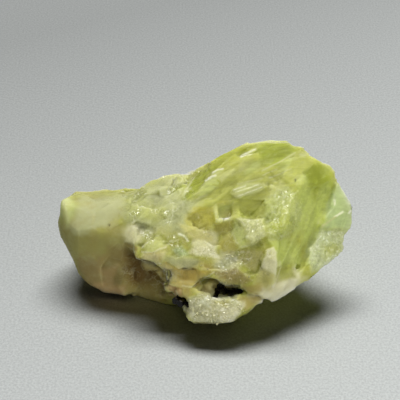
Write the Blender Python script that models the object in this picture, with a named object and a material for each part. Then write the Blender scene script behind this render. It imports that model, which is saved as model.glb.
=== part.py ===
"""Brazilianite crystal cluster: a hand-size lump of crystals that grew together.

The brazilianite is one solid. Its big crystals are convex blocks, each the hull of its own
corners. Small crystals crust them, and flat blades stand a little proud of them. A Boolean
union grows all of these together, and then the shallow breaks, the pits and the hollow are
cut. Two small groups of black tourmaline crystals sit in pockets of the lump.

Frame: +X along the lump, +Y towards its back, +Z up. The origin is the middle of its
bounding box, on the surface that the lump rests on. Points in the tables are in
millimetres for a lump of TABLED_SIZE, and LENGTH, DEPTH and HEIGHT stretch them.
"""
import bisect
import itertools
import math
import random

import bmesh
import bpy
from mathutils import Vector

LENGTH = 0.0575
DEPTH = 0.033
HEIGHT = 0.028
TABLED_SIZE = (57.5, 33.0, 28.0)

STUB_LEAN = 0.16  # spread of a small crystal's tilt off the surface
BREAK_DEPTH = 0.6  # how deep a break goes, over how far a crystal of that width stands proud
STUB_RINGS = (  # corners, reach over the half width, rise over the half width, spread of the rise
    (5, 0.7, 0.85, 0.15),
    (7, 1.0, 0.45, 0.25),
    (4, 0.7, -0.7, 0.1),
)
BLADE_TAPER = 0.92  # a blade's top over its root, across
FOOT = 0.35  # nothing but the flat base comes closer than this to the ground, in millimetres
NEEDLE_SIDES = 6
POCKET_GAP = 0.3  # between the tourmaline and the pocket that holds it, in millimetres

BRAZILIANITE_GREEN = (0.62, 0.66, 0.26)
TOURMALINE_BLACK = (0.012, 0.011, 0.012)

GRAIN = (0.87, 0.36, 0.34)  # the way that the main prism's cleavage steps run
PRISM_FACING = (-0.2, -0.42, 0.88)
RIGHT_FACING = (0.72, -0.62, 0.32)

# The big crystals. The first one holds the flat base.
CRYSTALS = {
    "heart": [
        (-15, -2, 0), (-8, -5, 0), (6, -7, 0), (14, -1, 0), (11, 9, 0), (-10, 10, 0),
        (-18, 1, 8), (-9, -2.5, 8), (0, -8, 9), (10, -9, 9), (19, -4, 11), (22, 4, 12),
        (14, 14, 10), (-8, 15, 10), (-18, 10, 9), (-12, 4, 16), (-1, -3.2, 17.4), (8, -4.3, 17.4),
        (18, 2, 18), (10, 11, 20), (-6, 11, 17),
    ],
    "core": [
        (-22, 1.5, 6), (-22, 3, 15), (-12, -1.2, 6), (-11, -2.6, 14.6), (-6, -5.4, 12.4),
        (-5, -5.4, 8), (-6, 9, 17), (-20, 8, 15), (-8, 10, 6), (-6.4, -1.4, 17.2),
        (-11.6, -1.3, 16.5), (-9.5, -3.8, 14.8),
    ],
    "left_crystal": [
        (-27.3, 5.8, 18.3), (-17.7, 5.3, 18.9), (-28.75, 4.9, 13), (-25.4, -0.7, 15.2),
        (-20.3, -2.1, 15.6), (-14.9, -2, 16.3), (-25, 0.6, 3.5), (-22.6, -1, 2),
        (-20.2, -2.3, 1), (-16, -3.7, 1), (-14.4, -3, 9), (-26, 11, 16.5), (-27.5, 9, 11),
        (-24, 11, 4), (-10, 12, 3), (-8, 12, 17), (-8, -1, 3), (-8, 0, 17),
        (-25.6, -0.3, 10), (-21.5, -2.6, 11.5), (-17, -3.6, 9),
    ],
    "middle_block": [
        (-15.3, 7.6, 18.7), (-11, 9.8, 19.9), (-7.9, 10.2, 20.8), (-3.2, 10.4, 21.2),
        (1.5, 4.8, 21), (0.7, -0.1, 19), (-5, -1.2, 18), (-15.1, -0.4, 17.3),
        (-14, 12, 12), (0, 15, 12), (0, -2, 10), (-13, 0, 12),
    ],
    "middle_shelf": [
        (-15.1, -0.4, 17.3), (-14.8, -4.2, 15.3), (-12.5, -6.7, 14.2), (-8.7, -8, 13.8),
        (-5.7, -8.2, 13.5), (-2, -7.6, 14.5), (1.6, -6.5, 15.5), (2, 0, 18.5),
        (-5, -1.2, 18.2), (-13.5, -2.4, 12), (-8, -4.5, 10), (0, -5, 9),
    ],
    "lip": [
        (-8.8, -6.5, 11.5), (-6.5, -8.5, 8.5), (-5.4, -10.6, 6.5), (-3.1, -13.8, 4.9),
        (-1.2, -15.4, 4.4), (1.6, -16.5, 4.2), (4.3, -15.8, 4.8), (7.2, -14.2, 6.6),
        (10.5, -12.1, 7.9), (6.3, -13, 8.8), (-1.2, -12.4, 9), (-4, -12.2, 9),
        (-5, -7, 2), (6, -7, 2), (10, -4, 8), (-5, -3, 11), (1.6, -15.2, 6.8),
        (5.2, -14.4, 7.6),
    ],
    "roof": [
        (-5.3, -8.2, 12.5), (-0.3, -7.8, 13.8), (6.3, -7.8, 13.8), (10.4, -10.7, 10.5),
        (6.3, -10.7, 11), (-0.3, -10.6, 11.6), (-3, 0, 12), (9, 0, 12), (9, -5, 16),
        (0, -5, 16),
    ],
    "main_prism": [
        (-2.8, 10.7, 21.2), (3.7, 12.2, 24.5), (9.6, 11.7, 27.7), (12.7, 11.9, 28),
        (16.6, 10.7, 27), (21.1, 8.2, 25.2), (17.1, 1.9, 24), (14.7, -2.9, 21),
        (11.5, -6.8, 17), (9.1, -5.1, 18), (4.8, -3.4, 19), (-0.3, -2.8, 18.5),
        (-5.4, 0.2, 18.8), (-5, 14, 12), (10, 16.5, 14), (18, 13, 16), (12, -2, 12),
    ],
    "right_block": [
        (21.1, 8.2, 25.2), (24.6, 7.4, 21), (22, 1.5, 17.5), (17.9, -2.7, 13.5),
        (16.3, -7.1, 11), (14.8, -9.9, 9.5), (10.4, -12.2, 8.5), (11.9, -7.1, 16),
        (14.7, -2.9, 21), (17.1, 1.9, 24), (12, 8, 12), (8, -4, 6), (12, -5, 6),
        (20, 8, 10),
    ],
    "upper_slab": [
        (24.8, 6.7, 21), (27, 5.4, 19.8), (28.75, 3.7, 17.5), (28.3, 2.5, 15),
        (25.9, 1.5, 12.5), (21.9, -0.5, 16.5), (20, 6, 10), (22, 9, 18), (18, 0, 13),
    ],
    "lower_slab": [
        (25.4, 1.5, 13), (26.8, -1.4, 11.2), (23.7, -4.4, 10.2), (21.3, -6.2, 10),
        (17.8, -8.6, 9.1), (19.8, -3.6, 12.8), (22.3, -0.4, 15), (14, 0, 8), (20, 6, 9),
        (19.2, 3, 14),
    ],
    "back_crystal": [
        (-18, 12, 15), (-8, 14, 17.5), (2, 16.5, 15), (4, 16, 8), (-4, 14, 2),
        (-16, 13, 4), (-20, 11, 9), (-12, 6, 10), (2, 8, 10),
    ],
    "lens_crystal": [
        (13.2, -6.2, 17.4), (12.4, -11.3, 10.0), (9.9, -9.7, 13.8), (14.1, -9.2, 13.4),
        (12.1, -10.8, 13.9), (10.6, -7.7, 16.4), (11, -6, 12), (14.2, -6.0, 12),
    ],
}

# Bare crystals over and beside the hollow, grown after the crust.
HOLLOW_RIM = {
    "ledge": [
        (-4.6, -10.9, 10.1), (-2.5, -11.2, 9.9), (-1.6, -10.8, 10.5), (-0.1, -10.4, 11.7),
        (1.4, -10, 12.7), (-5.6, -9.6, 11.2), (-1.5, -8, 12.8), (1, -8.2, 13),
        (-4.5, -7, 10.5), (-1, -7.5, 11.5),
    ],
    "brow": [
        (2.3, -10.6, 11), (4.8, -11.2, 10.3), (6.9, -11.6, 9.7), (8.6, -11.8, 9.5),
        (10.4, -12, 9), (1.4, -9.8, 12.6), (5, -10.2, 12.3), (10.4, -10.8, 11.5),
        (3.5, -8, 11.6), (10.5, -8, 8.8), (7.5, -8.5, 8.6), (8.4, -11.4, 8.4),
        (4.5, -8, 13.2), (10.5, -8.4, 13),
    ],
}

# Crystals that stand proud: two ends of the top face, width, thickness, the way it looks.
BLADES = {
    "left_edge": ((-5.4, 3.8, 20.5), (-1.4, 10.4, 22.9), 2.6, 1.8, (-0.5, -0.2, 0.84)),
    "left_face": ((-4.6, 0.6, 19.7), (3.2, 2.6, 22.0), 4.0, 1.8, PRISM_FACING),
    "long_blade": ((-2.2, 2.2, 21.2), (6.4, 8.6, 26.2), 3.4, 2.0, (-0.38, -0.28, 0.88)),
    "ridge_blade": ((0.4, 8.4, 23.6), (9.6, 10.8, 27.7), 3.8, 2.2, (-0.45, -0.2, 0.87)),
    "second_blade": ((2.4, 4.8, 23.4), (11.2, 8.8, 27.1), 3.2, 2.0, (-0.1, -0.5, 0.86)),
    "third_blade": ((5.6, 4.2, 23.8), (15.0, 7.6, 26.7), 3.0, 2.0, (-0.25, -0.3, 0.92)),
    "striated_patch": ((4.4, 1.4, 22.3), (11.8, 3.6, 24.8), 3.2, 2.0, PRISM_FACING),
    "cap": ((9.4, 9.6, 26.9), (16.6, 10.2, 27.1), 4.6, 1.8, (-0.05, -0.35, 0.93)),
    "pale_facet": ((12.6, 4.4, 25.2), (20.0, 6.6, 25.8), 4.6, 2.0, (0.06, -0.42, 0.9)),
    "centre_face": ((14.4, 2.2, 24.1), (12.6, -5.0, 18.9), 4.8, 2.2, (0.1, -0.6, 0.79)),
    "pale_knob": ((5.6, -3.9, 19.0), (10.4, -4.8, 18.4), 4.6, 2.4, (-0.1, -0.66, 0.74)),
    "lower_knob": ((4.2, -5.8, 16.9), (8.6, -6.4, 16.1), 4.0, 2.2, (-0.2, -0.75, 0.6)),
    "right_edge": ((21.4, 7.4, 24.4), (17.4, 0.4, 20.8), 3.6, 1.8, (0.66, -0.5, 0.56)),
    "right_plane": ((22.4, 4.6, 20.1), (16.8, -5.4, 13.3), 4.4, 1.8, RIGHT_FACING),
    "slab_plane": ((27.6, 4.2, 18.6), (23.4, 0.2, 16.2), 3.6, 1.6, (0.5, -0.6, 0.6)),
    "end_plane": ((25.6, 0.2, 12.8), (20.4, -5.2, 11.2), 3.6, 1.6, (0.4, -0.7, 0.6)),
    "rim": ((10.6, -11.8, 8.6), (20.4, -6.4, 10.2), 2.8, 1.8, (0.35, -0.8, 0.45)),
    "shelf_tongue": ((-6.2, -8.0, 13.3), (-0.2, -8.9, 12.6), 4.0, 1.6, (-0.1, -0.75, 0.6)),
}

# Small crystals that crust the big ones, and shallow breaks. A zone is a ball on the surface:
# its middle and radius, the number of crystals and of breaks, their least and greatest width,
# how far they stand proud or cut in, and their length along the grain over their width.
ZONES = {
    "middle_top": ((-8, 4.5, 19.5), 8, 20, 8, (3.0, 6.5), (-0.1, 0.5), 1.3),
    "shelf_front": ((-6, -5, 15.5), 8.5, 28, 5, (2.8, 5.6), (0.0, 0.7), 1.2),
    "roof": ((5, -8, 13.5), 5.5, 9, 0, (2.4, 4.4), (0.0, 0.6), 1.1),
    "lip": ((2, -14, 7), 6.0, 18, 1, (2.8, 5.6), (0.0, 0.6), 1.2),
    "undercut": ((-11, -4, 6), 6.5, 9, 3, (3.0, 6.0), (0.0, 0.7), 1.2),
    "prism_face": ((8, 5, 24), 12, 6, 8, (2.2, 3.8), (-0.1, 0.3), 3.0),
    "prism_front": ((8, -3, 18), 6.5, 13, 1, (2.4, 4.8), (0.0, 0.6), 1.5),
    "right_face": ((17, -3, 15), 8, 6, 0, (2.4, 4.4), (-0.1, 0.3), 2.6),
    "right_end": ((26, 1, 14), 5, 5, 0, (2.4, 4.2), (0.0, 0.4), 1.8),
    "back": ((0, 22, 6), 22, 18, 6, (4.5, 9.0), (0.0, 1.0), 1.6),
}

# Balls that the crust leaves bare.
BARE = {
    "lens crystal": ((12, -9.5, 13), 2.6),
    "mouth of the hollow": ((3.5, -12, 10), 3.6),
    "left rim of the lip": ((-4.8, -11.8, 7), 2.0),
    "ridge of the main prism": ((5, 12, 26), 4.5),
    "back edge of the middle": ((-8, 10.5, 20.5), 4.0),
    "right shoulder": ((20.5, 8.5, 25.5), 4.0),
}

PITS = {
    "hollow": [
        (-3.6, -12.2, 9.7), (0.4, -8.4, 12.3), (4.4, -7.6, 12.2), (7.4, -9, 10.6),
        (7.9, -13.2, 8.8), (3.2, -13.6, 8.4), (-1.4, -5.4, 9.2), (6.2, -5, 9.0), (3, -11, 7.8),
        (1.2, -4.6, 11.4), (4.6, -4.4, 11.2),
    ],
    "yellow_pit": [
        (-4.2, -0.4, 20.4), (0.8, -0.6, 21.4), (1.4, -4.2, 17.4), (-2.2, -4.4, 17.2),
        (-3.4, -3, 17), (-1.6, -0.8, 17.4), (0.8, -1.2, 17.6), (0, -4.4, 20), (-4, -3, 20),
    ],
    "box_pit": [
        (2.0, 0.6, 22.5), (4.8, 0.8, 22.8), (4.8, -2.2, 21.8), (2.2, -2.4, 21.2),
        (2.2, 0.4, 19), (4.6, 0.6, 19.3), (4.4, -1.4, 18.6), (2.4, -1.6, 18.4),
    ],
    "olive_pit": [
        (5.6, 0.6, 24), (11.4, 0.8, 24.8), (10, -2.8, 22.4), (6.6, -2.8, 21.6),
        (6.6, 0, 20), (10, 0, 20.4), (9.2, -2.2, 19.2), (7.2, -2.2, 19),
    ],
    "orange_pocket": [
        (-7.5, -10.9, 12.7), (-0.6, -11.6, 12.9), (-1.8, -7.6, 12.4), (-6.2, -7, 12),
        (-5, -10.7, 10.6), (-2.2, -10.7, 10.5), (-4.4, -8, 10.9), (-2.4, -8.2, 11.1),
        (-6.6, -9.4, 10.8),
    ],
}


# Black tourmaline: the middle, axis, width and length of each crystal of a group. The flat
# one of each group lies in the lump and joins the others at their roots.
TOURMALINE_GROUPS = {
    "tourmaline_in_hollow": [
        ((4.0, -9.5, 7.8), (1, -0.05, 0.05), 1.2, 4.8),
        ((1.9, -10.3, 7.9), (-0.2, -0.9, 0.15), 1.0, 2.4),
        ((3.0, -9.9, 8.7), (-0.3, -0.4, 0.85), 1.6, 2.8),
        ((4.3, -10.3, 8.4), (0.35, -0.75, 0.5), 1.3, 2.4),
        ((6.1, -10.2, 8.5), (0.1, -0.7, 0.65), 1.5, 2.6),
    ],
    "tourmaline_on_lip": [
        ((-4.4, -11.3, 7.0), (0.8, -0.5, -0.3), 1.2, 3.0),
        ((-5.2, -11.1, 7.2), (-0.6, -0.75, 0.3), 1.5, 2.6),
        ((-4.4, -11.7, 7.2), (-0.45, -0.85, 0.25), 1.5, 2.6),
        ((-3.5, -12.1, 7.0), (0.1, -0.8, 0.55), 1.3, 2.4),
    ],
}


def new_collection(name):
    collection = bpy.data.collections.new(name)
    bpy.context.scene.collection.children.link(collection)
    return collection


def principled(name, colour, roughness, metallic=0.0):
    material = bpy.data.materials.new(name)
    material.use_nodes = True
    surface = material.node_tree.nodes["Principled BSDF"]
    surface.inputs["Base Color"].default_value = (*colour, 1.0)
    surface.inputs["Roughness"].default_value = roughness
    surface.inputs["Metallic"].default_value = metallic
    return material


def to_metres(corner):
    """A tabled point at the lump's real size."""
    sides = zip(corner, (LENGTH, DEPTH, HEIGHT), TABLED_SIZE)
    return Vector([value * real / tabled for value, real, tabled in sides])


def to_table(point):
    """A point in metres as it would be tabled."""
    sides = zip(point, (LENGTH, DEPTH, HEIGHT), TABLED_SIZE)
    return Vector([value * tabled / real for value, real, tabled in sides])


def convex_crystal(name, corners, collection):
    """A flat-faced crystal: the convex hull of its corners."""
    shape = bmesh.new()
    for corner in corners:
        shape.verts.new(to_metres(corner))
    hull = bmesh.ops.convex_hull(shape, input=shape.verts)
    inner = set(hull["geom_interior"] + hull["geom_unused"])
    loose = [item for item in inner if isinstance(item, bmesh.types.BMVert)]
    bmesh.ops.delete(shape, geom=loose, context="VERTS")
    bmesh.ops.recalc_face_normals(shape, faces=shape.faces)
    mesh = bpy.data.meshes.new(name)
    shape.to_mesh(mesh)
    shape.free()
    crystal = bpy.data.objects.new(name, mesh)
    collection.objects.link(crystal)
    return crystal


def inside_the_box(corner):
    """The corner, pulled in where it would leave the lump's bounding box or touch the ground."""
    half_x, half_y, top = TABLED_SIZE[0] / 2, TABLED_SIZE[1] / 2, TABLED_SIZE[2]
    x = min(max(corner[0], -half_x), half_x)
    y = min(max(corner[1], -half_y), half_y)
    z = min(max(corner[2], FOOT), top)
    return Vector((x, y, z))


def blade_corners(start, end, width, thickness, facing, chance):
    """A flat blade whose two ends are broken off at a slant."""
    start, end = Vector(start), Vector(end)
    along = (end - start).normalized()
    across = Vector(facing).cross(along).normalized()
    out = along.cross(across)
    outline = [(0, chance.uniform(-0.7, 0.7)), (1, chance.uniform(-0.7, 0.7))]
    for side in (-1, 1):
        outline += [(chance.uniform(0, 0.22), side), (chance.uniform(0.78, 1), side)]
    corners = []
    for share, side in outline:
        edge = start.lerp(end, share) + across * side * width / 2
        middle = start.lerp(end, share)
        corners.append(inside_the_box(middle.lerp(edge, BLADE_TAPER)))
        corners.append(inside_the_box(edge - out * thickness))
    return corners


def stub_corners(middle, normal, width, proud, stretch, chance):
    """A small crystal half sunk in the surface, with an uneven top and sloping sides."""
    lean = Vector([chance.gauss(0, STUB_LEAN) for _ in range(3)])
    out = (normal + lean).normalized()
    along = Vector(GRAIN) + Vector([chance.gauss(0, 0.9 / stretch**1.5) for _ in range(3)])
    along = (along - out * along.dot(out)).normalized()
    across = out.cross(along)
    corners = []
    for count, reach, rise, spread in STUB_RINGS:
        spin = chance.uniform(0, math.tau)
        for step in range(count):
            angle = spin + math.tau * (step + chance.uniform(-0.25, 0.25)) / count
            flat = along * math.cos(angle) * stretch + across * math.sin(angle)
            flat *= width / 2 * reach * chance.uniform(0.8, 1.0)
            height = proud - width * (1 - rise - chance.uniform(0, spread)) / 2
            corners.append(inside_the_box(middle + flat + out * height))
    return corners


def surface_samples(lump):
    """The lump's triangles, as tabled points and a normal, with their running total of area."""
    evaluated = lump.evaluated_get(bpy.context.evaluated_depsgraph_get())
    mesh = evaluated.to_mesh()
    mesh.calc_loop_triangles()
    triangles, areas = [], []
    for triangle in mesh.loop_triangles:
        points = [to_table(mesh.vertices[index].co) for index in triangle.vertices]
        triangles.append((points, triangle.normal.copy()))
        areas.append(triangle.area)
    evaluated.to_mesh_clear()
    return triangles, list(itertools.accumulate(areas))


def random_spot(triangles, totals, centre, radius, chance):
    """A point on the surface in the ball, and the normal there. The underside is left out."""
    while True:
        (a, b, c), normal = triangles[bisect.bisect(totals, chance.random() * totals[-1])]
        u, v = sorted((chance.random(), chance.random()))
        middle = a * u + b * (v - u) + c * (1 - v)
        bare = any((middle - Vector(spot)).length < reach for spot, reach in BARE.values())
        if (middle - Vector(centre)).length < radius and normal.z > -0.75 and not bare:
            return middle, normal


def roughen(lump, growth, pits):
    """Small crystals and shallow breaks over each zone of the lump's surface."""
    triangles, totals = surface_samples(lump)
    for seed, (name, zone) in enumerate(ZONES.items()):
        centre, radius, crystals, breaks, widths, rises, stretch = zone
        chance = random.Random(seed)
        for number in range(crystals + breaks):
            middle, normal = random_spot(triangles, totals, centre, radius, chance)
            width, rise = chance.uniform(*widths), chance.uniform(*rises)
            grows = number < crystals
            facing = normal if grows else -normal
            rise *= 1 if grows else BREAK_DEPTH
            corners = stub_corners(middle, facing, width, rise, stretch, chance)
            convex_crystal(f"{name}_{number}", corners, growth if grows else pits)


def add_boolean(body, name, operation, collection):
    boolean = body.modifiers.new(name, "BOOLEAN")
    boolean.operand_type = "COLLECTION"
    boolean.collection = collection
    boolean.operation = operation
    boolean.solver = "EXACT"


def shells_of(shape):
    """The closed surfaces of a mesh, each as the set of its vertices."""
    left = set(shape.verts)
    shells = []
    while left:
        shell = set()
        reached = [left.pop()]
        while reached:
            vertex = reached.pop()
            shell.add(vertex)
            fresh = {edge.other_vert(vertex) for edge in vertex.link_edges} & left
            left -= fresh
            reached += fresh
        shells.append(shell)
    return shells


def keep_outer_shell(body):
    """The body's Booleans applied, less any loose crumb and any void shut inside it."""
    bpy.context.view_layer.update()
    evaluated = body.evaluated_get(bpy.context.evaluated_depsgraph_get())
    mesh = bpy.data.meshes.new_from_object(evaluated)
    body.modifiers.clear()
    body.data = mesh
    shape = bmesh.new()
    shape.from_mesh(mesh)
    shells = sorted(shells_of(shape), key=len)
    for shell in shells[:-1]:
        bmesh.ops.delete(shape, geom=list(shell), context="VERTS")
    shape.to_mesh(mesh)
    shape.free()


def needle(name, middle, axis, width, length, collection):
    """A six-sided tourmaline prism."""
    shape = bmesh.new()
    bmesh.ops.create_cone(
        shape, cap_ends=True, segments=NEEDLE_SIDES, radius1=width / 2, radius2=width / 2,
        depth=length,
    )
    turn = Vector(axis).to_track_quat("Z", "X")
    for corner in shape.verts:
        corner.co = to_metres(turn @ corner.co + Vector(middle))
    mesh = bpy.data.meshes.new(name)
    shape.to_mesh(mesh)
    shape.free()
    crystal = bpy.data.objects.new(name, mesh)
    collection.objects.link(crystal)
    return crystal


def add_tourmaline(name, crystals, shown, pits, helpers):
    """A group of tourmaline crystals joined at their roots, and the pocket that holds it."""
    roots = new_collection(f"{name}_roots")
    helpers.append(roots)
    body = needle(name, *crystals[0], shown)
    for number, (middle, axis, width, length) in enumerate(crystals):
        if number:
            needle(f"{name}_{number}", middle, axis, width, length, roots)
        wider, longer = width + 2 * POCKET_GAP, length + 2 * POCKET_GAP
        needle(f"{name}_pocket_{number}", middle, axis, wider, longer, pits)
    add_boolean(body, "Joined at the roots", "UNION", roots)
    body.data.materials.append(principled(f"Tourmaline {name}", TOURMALINE_BLACK, 0.25))


def add_lump(shown, growth, pits):
    """The brazilianite: every crystal grown together, with the pits cut."""
    chance = random.Random(1)
    first, *others = CRYSTALS
    body = convex_crystal("brazilianite_crystals", CRYSTALS[first], shown)
    for name in others:
        convex_crystal(name, CRYSTALS[name], growth)
    add_boolean(body, "Grown together", "UNION", growth)
    bpy.context.view_layer.update()
    roughen(body, growth, pits)
    for name, corners in HOLLOW_RIM.items():
        convex_crystal(name, corners, growth)
    for name, (start, end, width, thickness, facing) in BLADES.items():
        corners = blade_corners(start, end, width, thickness, facing, chance)
        convex_crystal(name, corners, growth)
    for name, corners in PITS.items():
        convex_crystal(name, corners, pits)
    add_boolean(body, "Pits", "DIFFERENCE", pits)
    body.data.materials.append(principled("Brazilianite", BRAZILIANITE_GREEN, 0.32))


def main():
    for old in list(bpy.data.objects):
        bpy.data.objects.remove(old)
    shown = new_collection("brazilianite_cluster")
    growth = new_collection("grown_together")
    pits = new_collection("pits")
    helpers = [growth, pits]
    add_lump(shown, growth, pits)
    for name, crystals in TOURMALINE_GROUPS.items():
        add_tourmaline(name, crystals, shown, pits, helpers)
    for body in shown.objects:
        keep_outer_shell(body)
    for collection in helpers:
        for helper in collection.objects:
            helper.hide_render = True
            helper.display_type = "WIRE"


if __name__ == "__main__":
    main()
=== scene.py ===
"""Finishes the brazilianite crystal cluster: the lump, its crumbs and its black tourmaline.

Run it as a script. It builds every piece in the part's own frame, in metres: +X along the
lump, +Y towards its back, +Z up, the origin under its middle. Places, widths and heights in
the lump's tables are in millimetres of that frame.
"""
import math

import bmesh
import bpy
import numpy as np
from bpy.props import FloatProperty, FloatVectorProperty, IntProperty, PointerProperty
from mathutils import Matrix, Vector, kdtree, noise
from mathutils.bvhtree import BVHTree


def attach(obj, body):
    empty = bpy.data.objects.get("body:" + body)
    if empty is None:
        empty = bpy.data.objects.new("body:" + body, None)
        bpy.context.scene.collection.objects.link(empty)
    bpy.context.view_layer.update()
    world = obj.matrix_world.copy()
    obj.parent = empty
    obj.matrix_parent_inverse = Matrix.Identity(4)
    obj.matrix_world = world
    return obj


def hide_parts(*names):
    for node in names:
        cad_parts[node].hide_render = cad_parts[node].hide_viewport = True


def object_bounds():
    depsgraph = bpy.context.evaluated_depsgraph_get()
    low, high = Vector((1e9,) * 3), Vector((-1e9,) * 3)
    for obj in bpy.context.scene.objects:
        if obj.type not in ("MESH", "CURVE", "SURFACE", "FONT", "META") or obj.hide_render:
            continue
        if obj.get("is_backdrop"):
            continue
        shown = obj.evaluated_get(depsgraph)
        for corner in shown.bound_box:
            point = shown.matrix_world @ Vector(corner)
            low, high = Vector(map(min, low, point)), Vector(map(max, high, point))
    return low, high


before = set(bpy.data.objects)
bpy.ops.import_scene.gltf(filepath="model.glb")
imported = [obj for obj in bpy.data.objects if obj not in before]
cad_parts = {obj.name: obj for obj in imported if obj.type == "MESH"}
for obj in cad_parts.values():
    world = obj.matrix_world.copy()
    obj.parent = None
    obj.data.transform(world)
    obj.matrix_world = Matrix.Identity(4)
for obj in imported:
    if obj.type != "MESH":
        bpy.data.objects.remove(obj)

bl_info = {
    "name": "Brazilianite crystal cluster",
    "version": (1, 0, 0),
    "blender": (4, 5, 0),
    "location": "3D View > Sidebar > Crystals",
    "description": "Finishes the crystal lump, its crumbs, its tourmaline and the stage",
    "category": "Object",
}

MM = 0.001
LOOSE_GAP = 1e-4 * MM
CAD_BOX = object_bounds()
BOX_MARGIN = 0.015

LUMP = "brazilianite_crystals"
LUMP_PIECE = "brazilianite_lump"
CRUMBS_PIECE = "brazilianite_crumbs"
TOURMALINE_GROUPS = ("tourmaline_in_hollow", "tourmaline_on_lip")

# ---- places on the lump

PRISM_GRAIN = Vector((0.87, 0.36, 0.34)).normalized()
RIGHT_GRAIN = Vector((0.42, 0.62, 0.66)).normalized()
LEFT_GRAIN = Vector((0.15, -0.35, 0.92)).normalized()

# Soft-edged balls: middle and radius.
LEFT_CRYSTAL = [((-23.5, 4, 11), 8.8), ((-20.5, 1, 6), 5.5), ((-20, 5, 15), 5.2)]
SOFT_BENDS = [
    ((-25, 0, 15.5), 3.6), ((-21, -1.3, 15.5), 3.6), ((-17, -1.5, 15.5), 3.4),
    ((20.3, -1.3, 15.2), 4.5), ((17.6, -4.6, 10.6), 2.4), ((-15.5, 10.5, 17.5), 3.2),
    ((2.4, -2.6, 16.2), 2.2), ((9.4, -6.8, 16.6), 2.2),
]
MAIN_PRISM = [((4, 7, 23), 7.5), ((12, 7, 25.5), 8), ((9, 2, 23), 5.5), ((0, 4, 21), 4)]
CENTRE_FACE = [((13.8, -1.5, 21.5), 4.2), ((15.5, 3, 24), 3)]
RIGHT_FACES = [((20.5, 2, 19), 5.5), ((17, -5, 13), 4.5), ((26, 2.5, 17), 4.5), ((22, -3, 11), 5)]
CRUST = [
    ((-9, 4, 19), 7.5), ((-7, -4, 15.5), 8), ((0, -4, 17.5), 5), ((6, -5, 17.5), 5.5),
    ((4, -9, 13.5), 5), ((1.5, -13.5, 7.5), 6), ((-11, -4, 7), 5.5), ((10, -8, 14), 3.5),
]
BACK = [((0, 15, 12), 13), ((-15, 13, 9), 8), ((15, 14, 13), 9), ((2, 12, 2), 9)]

# Small moves of the surface: the middle and radius of what moves, and how far.
MOVES = {
    "left end": ((-28, 4, 10), 13, (-0.85, 0, -0.25)),
    "left corner": ((-27.5, 6, 17.5), 4, (-0.8, 0, -0.2)),
    "left top": ((-22, 7, 18.5), 8, (0, 0, -1.2)),
    "left foot": ((-23, -2, 3), 6, (-0.7, -0.9, 0)),
    "middle top": ((-15, 9, 18.5), 5, (0, 0, -0.9)),
    "lip foot": ((1.5, -16, 3), 5.5, (0, 1.5, 0.3)),
    "right rim": ((14, -12, 6), 7, (0.3, -1.0, -0.3)),
    "shoulder": ((22.5, 7, 22.5), 5.5, (1.6, 0, 1.3)),
    "right of cap": ((18, 9, 27), 5, (1.0, 0, 0.5)),
}

# Flat faces cut into the worn surface: where, the grain that they follow, their width,
# their length over their width, and how flat they are.
FACETS = {
    "crust faces": (CRUST, PRISM_GRAIN, 2.2, 1.3, 1.0),
    "centre faces": (CENTRE_FACE, RIGHT_GRAIN, 1.8, 1.5, 0.9),
    "prism faces": (MAIN_PRISM, PRISM_GRAIN, 1.1, 4.0, 0.6),
    "right faces": (RIGHT_FACES, RIGHT_GRAIN, 1.8, 2.5, 0.7),
    "back faces": (BACK, PRISM_GRAIN, 3.6, 1.5, 0.9),
    "left faces": (LEFT_CRYSTAL, LEFT_GRAIN, 4.2, 2.0, 0.35),
}

# Relief laid over the surface as broken facets, one layer after the other: where it lies,
# its grain, a facet's width and its length over its width, how far a facet stands above its
# neighbours, and how far it tilts.
RELIEF = {
    "prism steps": (MAIN_PRISM, PRISM_GRAIN, 1.1, 7.0, 0.06, 0.05),
    "prism striae": (MAIN_PRISM, PRISM_GRAIN, 0.5, 10.0, 0.022, 0.04),
    "centre steps": (CENTRE_FACE, RIGHT_GRAIN, 1.1, 1.8, 0.06, 0.10),
    "right steps": (RIGHT_FACES, RIGHT_GRAIN, 1.4, 5.0, 0.035, 0.03),
    "right striae": (RIGHT_FACES, RIGHT_GRAIN, 0.6, 8.0, 0.012, 0.02),
    "crust plates": (CRUST, PRISM_GRAIN, 2.8, 1.4, 0.045, 0.05),
    "crust facets": (CRUST, PRISM_GRAIN, 1.3, 1.4, 0.02, 0.04),
    "everywhere else": (None, PRISM_GRAIN, 1.8, 1.6, 0.06, 0.06),
}

# Colours, in linear light.
LEAF = (0.43, 0.445, 0.11)
DEEP_OLIVE = (0.36, 0.40, 0.055)
OLIVE = (0.40, 0.41, 0.08)
MINT = (0.45, 0.53, 0.24)
LIME = (0.50, 0.54, 0.18)
FROST_AND_HIGHLIGHT = (0.50, 0.51, 0.23)
CHALK = (0.74, 0.70, 0.45)
BISQUE = (0.66, 0.60, 0.31)
CLAY = (0.33, 0.25, 0.10)
DUSK = (0.42, 0.31, 0.13)
PALE_GREEN = (0.68, 0.74, 0.36)
PALE_MINT = (0.54, 0.58, 0.31)
MILK = (0.46, 0.465, 0.24)
CREAM = (0.59, 0.57, 0.33)
STRAW = (0.50, 0.47, 0.17)
BUFF = (0.4, 0.385, 0.12)
YELLOW = (0.49, 0.46, 0.10)
KHAKI = (0.42, 0.39, 0.10)
HONEY = (0.56, 0.44, 0.12)
FAWN = (0.70, 0.59, 0.21)
BARK = (0.27, 0.22, 0.08)
TAN = (0.38, 0.31, 0.1)
UMBER = (0.17, 0.105, 0.03)
ROSE = (0.58, 0.40, 0.18)
CAP = (0.31, 0.35, 0.05)
GLOW = (0.46, 0.50, 0.10)
FERN = (0.50, 0.56, 0.145)
SAGE = (0.44, 0.46, 0.165)
IVORY = (0.44, 0.455, 0.215)
MOSS = (0.35, 0.325, 0.11)
INK = (0.03, 0.03, 0.01)
# GLINT is a painted highlight.
GLINT = (0.78, 0.79, 0.54)

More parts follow.
